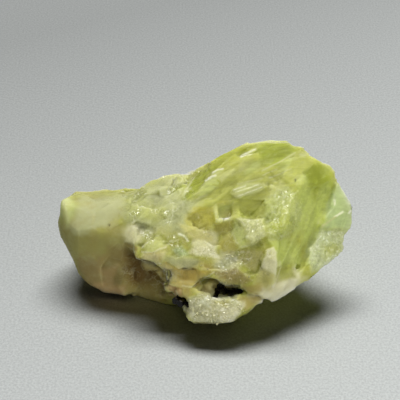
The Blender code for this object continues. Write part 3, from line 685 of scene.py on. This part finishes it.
def raise_relief(mesh, share):
    """Steps, striae and broken facets, each kind where it belongs."""
    points = points_of(mesh)
    area = area_of(mesh)
    left = in_balls(points, LEFT_CRYSTAL)
    height = np.zeros(len(points))
    shade = np.zeros(len(points))
    bare = 1 - left
    for place, (balls, *facets) in enumerate(RELIEF.values()):
        here = in_balls(points, balls) * (1 - left) if balls else bare
        seed = place if balls else REST_SEED
        raised, tint = broken_facets(points, area, seed, *facets)
        height += here * raised
        # Painted inner reflection: a random lightness by facet.
        shade += here * tint * FACET_TINT
        bare = np.minimum(bare, 1 - here)
    size, seed, rise = SWELL
    height += left * cloud(points, size, seed) * rise
    height *= share * smooth_step(points[:, 2], *RELIEF_RISE)
    set_points(mesh, points + normals_of(mesh) * height[:, None])
    store(mesh, "shade", shade)


# ---- the front view


def front_view(points):
    """Where points fall in the front view, in mm across and up from its middle."""
    away = points - np.array(FRONT_EYE)
    far = away @ -np.array(FRONT_BACK)
    spots = np.column_stack([away[:, 0], away @ np.array(FRONT_UP)])
    return spots / far[:, None] * FRONT_DISTANCE / MM


def seen_from_front(mesh):
    """From 0 on what the front view doesn't show to 1 on what faces it."""
    points = points_of(mesh)
    normals = normals_of(mesh)
    towards = np.array(FRONT_EYE) - points
    towards /= np.linalg.norm(towards, axis=1)[:, None]
    share = smooth_step((normals * towards).sum(1), *FACING)
    tree = BVHTree.FromPolygons(
        [vertex.co for vertex in mesh.vertices], [face.vertices for face in mesh.polygons]
    )
    starts = points + normals * SIGHT_OUT + towards * SIGHT_ON
    for place in np.flatnonzero(share > 0):
        if tree.ray_cast(Vector(starts[place]), Vector(towards[place]))[0] is not None:
            share[place] = 0
    return share


def to_segments(spots, starts, ends):
    """The distance from each spot to the nearest of some segments."""
    nearest = np.full(len(spots), np.inf)
    for start, end in zip(starts, ends):
        run = end - start
        share = np.clip((spots - start) @ run / (run @ run), 0, 1)
        nearest = np.minimum(nearest, np.linalg.norm(spots - start - share[:, None] * run, axis=1))
    return nearest


def depth_inside(spots, outline):
    """How far inside a closed outline each spot lies, less than 0 outside it."""
    ends = np.array(outline)
    starts = np.roll(ends, 1, axis=0)
    inside = np.zeros(len(spots), bool)
    for start, end in zip(starts, ends):
        crosses = (start[1] > spots[:, 1]) != (end[1] > spots[:, 1])
        if crosses.any():
            rise = (spots[:, 1] - start[1]) / (end[1] - start[1])
            inside ^= crosses & (spots[:, 0] < start[0] + rise * (end[0] - start[0]))
    return np.where(inside, 1, -1) * to_segments(spots, starts, ends)


def depth_in_line(spots, course, width):
    """How far inside a line of that width each spot lies, less than 0 outside it."""
    path = np.array(course)
    return width / 2 - to_segments(spots, path[:-1], path[1:])


def share_in_shape(spots, seen, shape, edge, depth_of, *width):
    """From 0 outside a shape of the front view to 1 inside it, on what is seen there."""
    low = np.min(shape, axis=0) - 1
    high = np.max(shape, axis=0) + 1
    near = (seen > 0) & (spots > low).all(1) & (spots < high).all(1)
    share = np.zeros(len(spots))
    share[near] = smooth_step(depth_of(spots[near], shape, *width), -edge, edge) * seen[near]
    return share


def face_shares(spots, seen, edge):
    """Each named face with its share at every point."""
    for name, (colour, flatness, lift, outline) in FACES.items():
        soft = PATCH_EDGE if flatness == 0 else edge / 2 if flatness >= CRISP else edge
        share = share_in_shape(spots, seen, outline, soft, depth_inside)
        yield name, colour, flatness, lift, share


def line_shares(spots, seen):
    """Each named line with its share at every point."""
    for colour, width, height, course in LINES.values():
        share = share_in_shape(spots, seen, course, LINE_EDGE, depth_in_line, width)
        yield colour, height, share


def lay_named_faces(mesh):
    """Flattens each named face, and raises or sinks it and the named lines."""
    points = points_of(mesh)
    normals = normals_of(mesh)
    spots = front_view(points)
    seen = seen_from_front(mesh)
    firm = smooth_step(seen, *FIRM)
    calm = np.zeros(len(points))
    for _, _, flatness, lift, share in face_shares(spots, firm, CUT_EDGE):
        if share.sum() < FEWEST_POINTS:
            continue
        calm = np.maximum(calm, share * flatness)
        middle = (points * share[:, None]).sum(0) / share.sum()
        facing = (normals * share[:, None]).sum(0)
        facing /= np.linalg.norm(facing)
        off = np.clip((points - middle) @ facing, -FACE_CUT, FACE_CUT)
        points = points + ((lift * MM - off * flatness) * share)[:, None] * facing
    for _, height, share in line_shares(spots, firm):
        points = points + (height * MM * share)[:, None] * normals
    set_points(mesh, points)
    return spots, seen, calm


# ---- box, marks and colours


def keep_in_box(mesh):
    """No point leaves the box of the solids by more than a little, and the base stays flat."""
    low, high = np.array(CAD_BOX)
    margin = (high - low) * BOX_MARGIN
    set_points(mesh, np.clip(points_of(mesh), low - margin * (1, 1, 0), high + margin))


def mark_edges(mesh):
    """How far each point stands out of its surroundings: 1 on a ridge, -1 in a groove."""
    points = points_of(mesh)
    normals = normals_of(mesh)
    edges = edges_of(mesh)
    full = np.ones(len(points))
    for name, (rounds, reach) in EDGE_MARKS.items():
        out = ((points - worn(points, edges, full, rounds)) * normals).sum(1)
        store(mesh, name, np.clip(out / reach, -1, 1))


def painted(colours, colour, share):
    share = share[:, None]
    return colours * (1 - share) + np.array(colour) * share


def paint_lump(mesh, spots, seen):
    """The lump's colours, and marks for what glitters and what is gritty, crust or crystal."""
    points = points_of(mesh)
    wander = sum(cloud(points, size, seed) * reach for size, seed, reach in PATCH_WANDER)
    colours = np.tile(np.array(OLIVE), (len(points), 1))
    for middle, radius, stretch, colour, strength in PATCHES.values():
        distance = from_middle(points, middle, radius, stretch) + wander
        colours = painted(colours, colour, strength * smooth_step(-distance, *PATCH_FADE))
    size, seeds, reach = FACE_DRIFT
    drift = np.column_stack([cloud(points, size, seed) for seed in seeds]) * reach
    crust = in_balls(points, CRUST + BACK)
    grit = np.zeros(len(points))
    size, seed, fade = CRUST_GLITTER
    glitter = crust * smooth_step(cloud(points, size, seed), *fade)
    for name, colour, _, _, share in face_shares(spots + drift, seen, PAINT_EDGE):
        if name in GLITTERING:
            glitter = np.maximum(glitter, share)
        if name in GRITTY:
            grit = np.maximum(grit, share)
        colours = painted(colours, colour, FACE_STRENGTH * share)
    for colour, _, share in line_shares(spots, seen):
        colours = painted(colours, colour, share)
    opaque = np.ones(len(points))
    store(mesh, "tone", np.column_stack([colours, opaque]), "FLOAT_COLOR", "color")
    marks = {
        "glitter": glitter,
        "grit": grit,
        "crust": crust,
        "cleaved": in_balls(points, MAIN_PRISM + RIGHT_FACES),
        "polished": in_balls(points, LEFT_CRYSTAL),
    }
    for name, values in marks.items():
        store(mesh, name, values)


# ---- materials


class Tree:
    """A node tree, built by short calls."""

    def __init__(self, tree):
        self.tree = tree

    def feed(self, node, inputs):
        """Sets a node's inputs, each to a value or to what another node gives."""
        for name, value in inputs.items():
            if isinstance(value, bpy.types.NodeSocket):
                self.tree.links.new(value, node.inputs[name])
            else:
                node.inputs[name].default_value = value

    def add(self, kind, inputs=None, **settings):
        node = self.tree.nodes.new(kind)
        for name, value in settings.items():
            setattr(node, name, value)
        self.feed(node, inputs or {})
        return node

    def times(self, first, second):
        return self.add("ShaderNodeMath", {0: first, 1: second}, operation="MULTIPLY").outputs[0]


class Material(Tree):
    """A material's node tree."""

    def __init__(self, name):
        self.material = bpy.data.materials.new(name)
        self.material.use_nodes = True
        super().__init__(self.material.node_tree)

    def finish(self, inputs):
        """The material, once its surface has these inputs."""
        self.feed(self.tree.nodes["Principled BSDF"], inputs)
        return self.material

    def attribute(self, name, output="Fac"):
        return self.add("ShaderNodeAttribute", attribute_name=name).outputs[output]

    def place(self, rotation=(0, 0, 0), scale=(1, 1, 1)):
        """Object coordinates, turned and scaled."""
        source = self.add("ShaderNodeTexCoord").outputs["Object"]
        inputs = {"Vector": source, "Rotation": rotation, "Scale": scale}
        return self.add("ShaderNodeMapping", inputs).outputs["Vector"]

    def noise(self, vector, size, detail=3.0, roughness=0.55):
        inputs = {"Vector": vector, "Scale": 1 / size, "Detail": detail, "Roughness": roughness}
        return self.add("ShaderNodeTexNoise", inputs).outputs["Fac"]

    def ramp(self, value, low, high, start=0.0, end=1.0):
        inputs = {"Value": value, "From Min": low, "From Max": high, "To Min": start, "To Max": end}
        return self.add("ShaderNodeMapRange", inputs, clamp=True).outputs["Result"]

    def mix(self, share, first, second, blend="MIX"):
        inputs = {0: share}
        for socket, colour in ((6, first), (7, second)):
            inputs[socket] = (*colour, 1.0) if isinstance(colour, tuple) else colour
        return self.add("ShaderNodeMix", inputs, data_type="RGBA", blend_type=blend).outputs[2]

    def bump(self, height, strength, distance, **over):
        inputs = {"Height": height, "Strength": strength, "Distance": distance, **over}
        return self.add("ShaderNodeBump", inputs).outputs["Normal"]

    def vector(self, kind, first, second=(0, 0, 0)):
        inputs = {0: first, "Scale" if kind == "SCALE" else 1: second}
        return self.add("ShaderNodeVectorMath", inputs, operation=kind).outputs["Vector"]

    def cracks(self, vector, size):
        """Fine broken lines: 1 on the borders of wavy cells, 0 elsewhere and where they fade."""
        wave = self.add("ShaderNodeTexNoise", {"Vector": vector, "Scale": 1 / size})
        shift = self.vector("SCALE", wave.outputs["Color"], size * 0.8)
        inputs = {"Vector": self.vector("ADD", vector, shift), "Scale": 1 / size}
        cells = self.add("ShaderNodeTexVoronoi", inputs, feature="DISTANCE_TO_EDGE")
        line = self.ramp(cells.outputs["Distance"], 0.02, 0.07, 1.0, 0.0)
        return self.times(line, self.ramp(self.noise(vector, size * 1.4, 2), 0.45, 0.6))

    def tiny_facets(self, normal, vector, size, lean):
        """The normal, leaned another way on every cell of that size."""
        cells = self.add("ShaderNodeTexVoronoi", {"Vector": vector, "Scale": 1 / size})
        way = self.vector("SUBTRACT", cells.outputs["Color"], (0.5, 0.5, 0.5))
        return self.vector("NORMALIZE", self.vector("ADD", normal, self.vector("SCALE", way, lean)))


# The refraction of the crystal, and the marks between which it starts to glitter.
CRYSTAL_IOR = 1.6
GLITTERS = (0.2, 0.8)


def grain_turn(grain):
    """The turn, as a Mapping node takes it, that lays the grain along X."""
    return tuple(grain.to_track_quat("X", "Z").inverted().to_euler("XYZ"))


def brazilianite_material(settings):
    """Glassy, cloudy yellow-green: streaked on cleavage, painted highlight on ridges, cracked on crust."""
    made = Material("Brazilianite")
    crust = made.attribute("crust")
    glitter = made.attribute("glitter")
    plain = made.place()
    streaks = made.noise(made.place(grain_turn(PRISM_GRAIN), (0.12, 1, 1)), 0.6 * MM, 4)
    patches = made.noise(plain, 2.6 * MM, 5, 0.6)
    grains = made.noise(plain, 0.35 * MM, 4, 0.7)

    lightness = made.times(made.ramp(streaks, 0.3, 0.7, -0.1, 0.1), made.attribute("cleaved"))
    for change in (
        # Painted inner reflection: the random lightness by facet.
        made.ramp(made.attribute("shade"), -1.0, 1.0, 0.88, 1.12),
        # Painted shade in the hollows and grooves.
        made.ramp(made.attribute("hollow"), -1.0, 0.2, -0.2, 0.0),
        made.ramp(patches, 0.3, 0.7, -0.07, 0.07),
        made.times(made.ramp(grains, 0.3, 0.7, -0.1, 0.1), crust),
    ):
        lightness = made.add("ShaderNodeMath", {0: lightness, 1: change}).outputs[0]
    colour = made.mix(1.0, made.attribute("tone", "Color"), lightness, "MULTIPLY")

    cracks = made.cracks(plain, 1.5 * MM)
    flecks = made.ramp(made.noise(plain, 1.6 * MM, 6, 0.75), 0.6, 0.7, 0.0, 0.35)
    veils = made.noise(made.place(scale=(1, 1, 0.3)), 3.0 * MM, 4, 0.6)
    for share, tint in (
        (made.ramp(patches, 0.52, 0.72, 0.0, 0.25), MILK),
        # Painted highlight along the ridges.
        (made.ramp(made.attribute("ridge"), 0.2, 1.0, 0.0, 0.12), FROST_AND_HIGHLIGHT),
        (made.times(cracks, made.ramp(crust, 0.3, 1.0, 0.0, 0.25)), CREAM),
        (made.times(flecks, crust), DEEP_OLIVE),
        (made.times(made.ramp(veils, 0.5, 0.7, 0.0, 0.35), made.attribute("polished")), TAN),
    ):
        colour = made.mix(share, colour, tint)

    rough = made.ramp(made.noise(plain, 0.7 * MM, 4, 0.7), 0.42, 0.56, settings.roughness, 0.6)
    fine = made.bump(grains, 0.25, 0.08 * MM)
    lined = made.bump(streaks, 0.2, 0.06 * MM, Normal=fine)
    return made.finish({
        "Base Color": colour,
        "Roughness": made.times(rough, made.ramp(glitter, *GLITTERS, 1.0, 0.5)),
        "IOR": CRYSTAL_IOR,
        "Specular IOR Level": made.ramp(glitter, *GLITTERS, 0.06, 0.4),
        "Specular Tint": made.ramp(glitter, *GLITTERS, 0.35, 1.0),
        "Subsurface Weight": settings.glow,
        "Subsurface Radius": (1.0, 1.0, 0.85),
        "Subsurface Scale": 6 * MM,
        "Normal": made.tiny_facets(lined, plain, 0.3 * MM, made.times(glitter, 0.7)),
    })


def crumb_material():
    """Glossy crumbs of the same crystal, a little paler than what they sit on."""
    made = Material("Brazilianite crumbs")
    paler = made.ramp(made.noise(made.place(), 0.8 * MM, 2), 0.4, 0.7, 0.1, 0.6)
    colour = made.mix(paler, made.attribute("tone", "Color"), CREAM)
    return made.finish({"Base Color": colour, "Roughness": 0.2, "IOR": CRYSTAL_IOR})


def tourmaline_material(settings):
    """Black with brown patches, glossy and finely striated."""
    made = Material("Black tourmaline")
    patches = made.noise(made.place(), 0.5 * MM, 3)
    brown = made.ramp(patches, 0.5, 0.75, 0.0, 0.5)
    lines = made.noise(made.place(scale=(1, 1, 0.2)), 0.08 * MM, 2)
    return made.finish({
        "Base Color": made.mix(brown, tuple(settings.colour), (0.05, 0.035, 0.02)),
        "Roughness": made.ramp(patches, 0.3, 0.7, 0.12, 0.35),
        "Specular IOR Level": 0.25,
        "Normal": made.bump(lines, 0.3, 0.03 * MM),
    })


def floor_material(colour):
    """A plain sheet with a faint, fine grain and a painted falloff of light: darker at the back left."""
    made = Material("Plain sheet")
    grain = made.ramp(made.noise(made.place(), 0.45 * MM, 2, 0.7), 0.35, 0.65)
    darker = tuple(channel * 0.88 for channel in colour)
    lighter = tuple(min(1.0, channel * 1.12) for channel in colour)
    # Painted falloff of light: darker towards the back left, lighter towards the front right.
    inputs = {0: made.place(), 1: (0.45, -0.9, 0)}
    across = made.add("ShaderNodeVectorMath", inputs, operation="DOT_PRODUCT")
    fall = made.ramp(across.outputs["Value"], -0.11, 0.08, 0.60, 1.32)
    sheet = made.mix(grain, darker, lighter)
    return made.finish({
        "Base Color": made.mix(1.0, sheet, fall, "MULTIPLY"),
        "Roughness": 0.7,
        "Normal": made.bump(grain, 0.15, 0.05 * MM),
    })


# ---- crumbs

CRUMB_INPUTS = {
    "Geometry": "Geometry", "Density": "Float", "Least": "Float",
    "Most": "Float", "Seed": "Int", "Material": "Material",
}
# A blunt cone one unit wide, which is then scaled to a crumb's width.
CRUMB_SHAPE = {"Vertices": 5, "Radius Bottom": 0.5, "Radius Top": 0.36, "Depth": 0.9}
HALF_TURN = (math.pi, math.pi, math.pi)
HALF_TURN_BACK = (-math.pi, -math.pi, -math.pi)


def crumb_tree():
    """Tiny blunt crystals strewn where the surface is gritty, each turned its own way."""
    group = bpy.data.node_groups.new("Crumbs", "GeometryNodeTree")
    sockets = group.interface
    names = {
        name: sockets.new_socket(name, in_out="INPUT", socket_type=f"NodeSocket{kind}").identifier
        for name, kind in CRUMB_INPUTS.items()
    }
    sockets.new_socket("Geometry", in_out="OUTPUT", socket_type="NodeSocketGeometry")
    made = Tree(group)
    given = made.add("NodeGroupInput").outputs
    grit = made.add("GeometryNodeInputNamedAttribute", {"Name": "grit"}, data_type="FLOAT")
    spots = made.add("GeometryNodeDistributePointsOnFaces", {
        "Mesh": given["Geometry"],
        "Density": made.times(grit.outputs["Attribute"], given["Density"]),
        "Seed": given["Seed"],
    })
    crumb = made.add("GeometryNodeMeshCone", CRUMB_SHAPE, fill_type="NGON")
    ways = {"Min": HALF_TURN_BACK, "Max": HALF_TURN}
    turn = made.add("FunctionNodeRandomValue", ways, data_type="FLOAT_VECTOR")
    widths = {2: given["Least"], 3: given["Most"]}
    width = made.add("FunctionNodeRandomValue", widths, data_type="FLOAT")
    copies = made.add("GeometryNodeInstanceOnPoints", {
        "Points": spots.outputs["Points"],
        "Instance": crumb.outputs["Mesh"],
        "Rotation": turn.outputs["Value"],
        "Scale": width.outputs[1],
    })
    shape = copies.outputs["Instances"]
    for kind, inputs in (
        ("GeometryNodeRealizeInstances", {}),
        ("GeometryNodeSetShadeSmooth", {"Shade Smooth": False}),
        ("GeometryNodeSetMaterial", {"Material": given["Material"]}),
        ("NodeGroupOutput", {}),
    ):
        step = made.add(kind, {"Geometry": shape, **inputs})
        shape = step.outputs[0] if step.outputs else None
    return group, names


# ---- operators


class GrowLump(bpy.types.Operator):
    """Finish the brazilianite lump: worn edges, small moves, facets, relief and colours"""

    bl_idname = "crystals.grow_lump"
    bl_label = "Grow the lump"

    def execute(self, context):
        settings = context.scene.lump
        lump = remeshed(merged_copy(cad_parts[LUMP], LUMP_PIECE), settings.voxel)
        mesh = lump.data
        points = points_of(mesh)
        edges = edges_of(mesh)
        off_base = smooth_step(points[:, 2], *WEAR_RISE)
        points = worn(points, edges, ROUNDING_SHARE * off_base, settings.rounding)
        crust = in_balls(points, CRUST) * off_base
        points = worn(points, edges, MELTING_SHARE * crust, settings.melting)
        smooth = in_balls(points, LEFT_CRYSTAL, POLISHED_EDGE) * off_base
        points = worn(points, edges, smooth, settings.polishing)
        bend = in_balls(points, SOFT_BENDS, BEND_EDGE)
        points = moved(worn(points, edges, bend, settings.bending))
        set_points(mesh, points)
        bare = 1 - in_balls(points, LEFT_CRYSTAL)
        area = area_of(mesh)
        for seed, (balls, *facets, flatness) in enumerate(FACETS.values()):
            weight = flatness * off_base * in_balls(points, balls)
            if balls is not LEFT_CRYSTAL:
                weight = weight * bare
            points = cut_facets(points, normals_of(mesh), area, seed, *facets, weight)
            set_points(mesh, points)
        spots, seen, calm = lay_named_faces(mesh)
        raise_relief(mesh, settings.relief * (1 - CALM * calm))
        keep_in_box(mesh)
        mark_edges(mesh)
        paint_lump(mesh, spots, seen)
        mesh.shade_smooth()
        mesh.materials.clear()
        mesh.materials.append(brazilianite_material(settings))
        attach(lump, "root")
        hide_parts(LUMP)
        return {"FINISHED"}


class StrewCrumbs(bpy.types.Operator):
    """Strew tiny crystals over the gritty parts of the lump"""

    bl_idname = "crystals.strew_crumbs"
    bl_label = "Strew the crumbs"

    def execute(self, context):
        settings = context.scene.crumbs
        lump = context.scene.objects[LUMP_PIECE]
        crumbs = link(CRUMBS_PIECE, lump.data.copy())
        strew = crumbs.modifiers.new("Crumbs", "NODES")
        strew.node_group, names = crumb_tree()
        strew[names["Density"]] = settings.density
        strew[names["Least"]] = settings.least
        strew[names["Most"]] = settings.most
        strew[names["Seed"]] = settings.seed
        strew[names["Material"]] = crumb_material()
        applied(crumbs)
        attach(crumbs, "root")
        return {"FINISHED"}


class SetTourmaline(bpy.types.Operator):
    """Finish the two groups of black tourmaline"""

    bl_idname = "crystals.set_tourmaline"
    bl_label = "Set the tourmaline"

    def execute(self, context):
        settings = context.scene.tourmaline
        material = tourmaline_material(settings)
        for name in TOURMALINE_GROUPS:
            group = merged_copy(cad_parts[name], f"{name}_crystals")
            mesh = remeshed(group, settings.voxel).data
            points = points_of(mesh)
            shares = np.full(len(points), TOURMALINE_SHARE)
            set_points(mesh, worn(points, edges_of(mesh), shares, TOURMALINE_ROUNDS))
            mesh.materials.append(material)
            mesh.shade_smooth()
            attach(group, "root")
            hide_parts(name)
        return {"FINISHED"}


class LayStage(bpy.types.Operator):
    """Lay the floor, hang the lights and set the camera"""

    bl_idname = "crystals.lay_stage"
    bl_label = "Lay the stage"

    def execute(self, context):
        settings = context.scene.stage
        bpy.ops.mesh.primitive_plane_add(size=FLOOR_SIZE)
        floor = context.object
        floor.name = "floor"
        floor.data.materials.append(floor_material(tuple(settings.floor)))
        floor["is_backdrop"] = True
        for name, (place, size, power, lit) in LIGHTS.items():
            hang_light(name, place, size, power, lit)
        world = bpy.data.worlds.new("Pale room")
        world.use_nodes = True
        glow = world.node_tree.nodes["Background"].inputs
        glow["Color"].default_value = (1, 1, 1, 1)
        glow["Strength"].default_value = ROOM_GLOW
        context.scene.world = world
        set_camera(settings)
        context.scene.view_settings.view_transform = "Standard"
        return {"FINISHED"}


# ---- stage

FLOOR_SIZE = 3.0
ROOM_GLOW = 0.012
# Soft lights: place, width and depth in metres, power, and the only pieces that one lights,
# where it doesn't light them all.
LIGHTS = {
    "key": ((0.02, 0.49, 1.01), (0.8, 0.34), 12.6, ()),
    "fill": ((0.14, -0.3, 0.34), (0.35, 0.35), 1.6, (LUMP_PIECE, CRUMBS_PIECE)),
}
LIT_POINT = Vector((0, 0, 0.01))
CAMERA_LENS = 108
CAMERA_SENSOR = 36
CAMERA_CLEARANCE = 0.01


def hang_light(name, place, size, power, lit):
    """A soft light that looks at the lump, and may light some pieces alone."""
    lamp = bpy.data.lights.new(name, "AREA")
    lamp.shape = "RECTANGLE"
    lamp.size, lamp.size_y = size
    lamp.energy = power
    made = link(name, lamp)
    if lit:
        made.light_linking.receiver_collection = bpy.data.collections.new(name)
        for piece in lit:
            made.light_linking.receiver_collection.objects.link(bpy.data.objects[piece])
    aim(made, Vector(place), LIT_POINT - Vector(place))


def set_camera(settings):
    """A long lens that looks down at the lump from the front."""
    camera = bpy.data.cameras.new("camera")
    camera.lens = CAMERA_LENS
    camera.sensor_width = CAMERA_SENSOR
    camera.clip_start = CAMERA_CLEARANCE
    made = link("camera", camera)
    back = Vector((0, -math.cos(settings.elevation), math.sin(settings.elevation)))
    aim(made, FRONT_MIDDLE + back * settings.distance, -back)
    bpy.context.scene.camera = made


def aim(made, place, way):
    """Puts a light or a camera in its place, looking that way."""
    made.location = place
    made.rotation_mode = "QUATERNION"
    made.rotation_quaternion = way.to_track_quat("-Z", "Y")


class CrystalPanel(bpy.types.Panel):
    """Lists the steps that finish the cluster"""

    bl_idname = "VIEW3D_PT_crystals"
    bl_label = "Crystal cluster"
    bl_space_type = "VIEW_3D"
    bl_region_type = "UI"
    bl_category = "Crystals"

    def draw(self, context):
        for step in STEPS:
            self.layout.operator(step.bl_idname)


STEPS = (GrowLump, StrewCrumbs, SetTourmaline, LayStage)
SETTINGS = {
    "lump": LumpSettings,
    "crumbs": CrumbSettings,
    "tourmaline": TourmalineSettings,
    "stage": StageSettings,
}


def register():
    for made in (*SETTINGS.values(), *STEPS, CrystalPanel):
        bpy.utils.register_class(made)
    for name, group in SETTINGS.items():
        setattr(bpy.types.Scene, name, PointerProperty(type=group))


def unregister():
    for name in SETTINGS:
        delattr(bpy.types.Scene, name)
    for made in reversed((*SETTINGS.values(), *STEPS, CrystalPanel)):
        bpy.utils.unregister_class(made)


def main():
    register()
    bpy.ops.crystals.grow_lump()
    bpy.ops.crystals.strew_crumbs()
    bpy.ops.crystals.set_tourmaline()
    bpy.ops.crystals.lay_stage()
    boxes = {"cad": CAD_BOX, "visual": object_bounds()}
    {name: [list(c) for c in box] for name, box in boxes.items()}


if __name__ == "__main__":
    main()
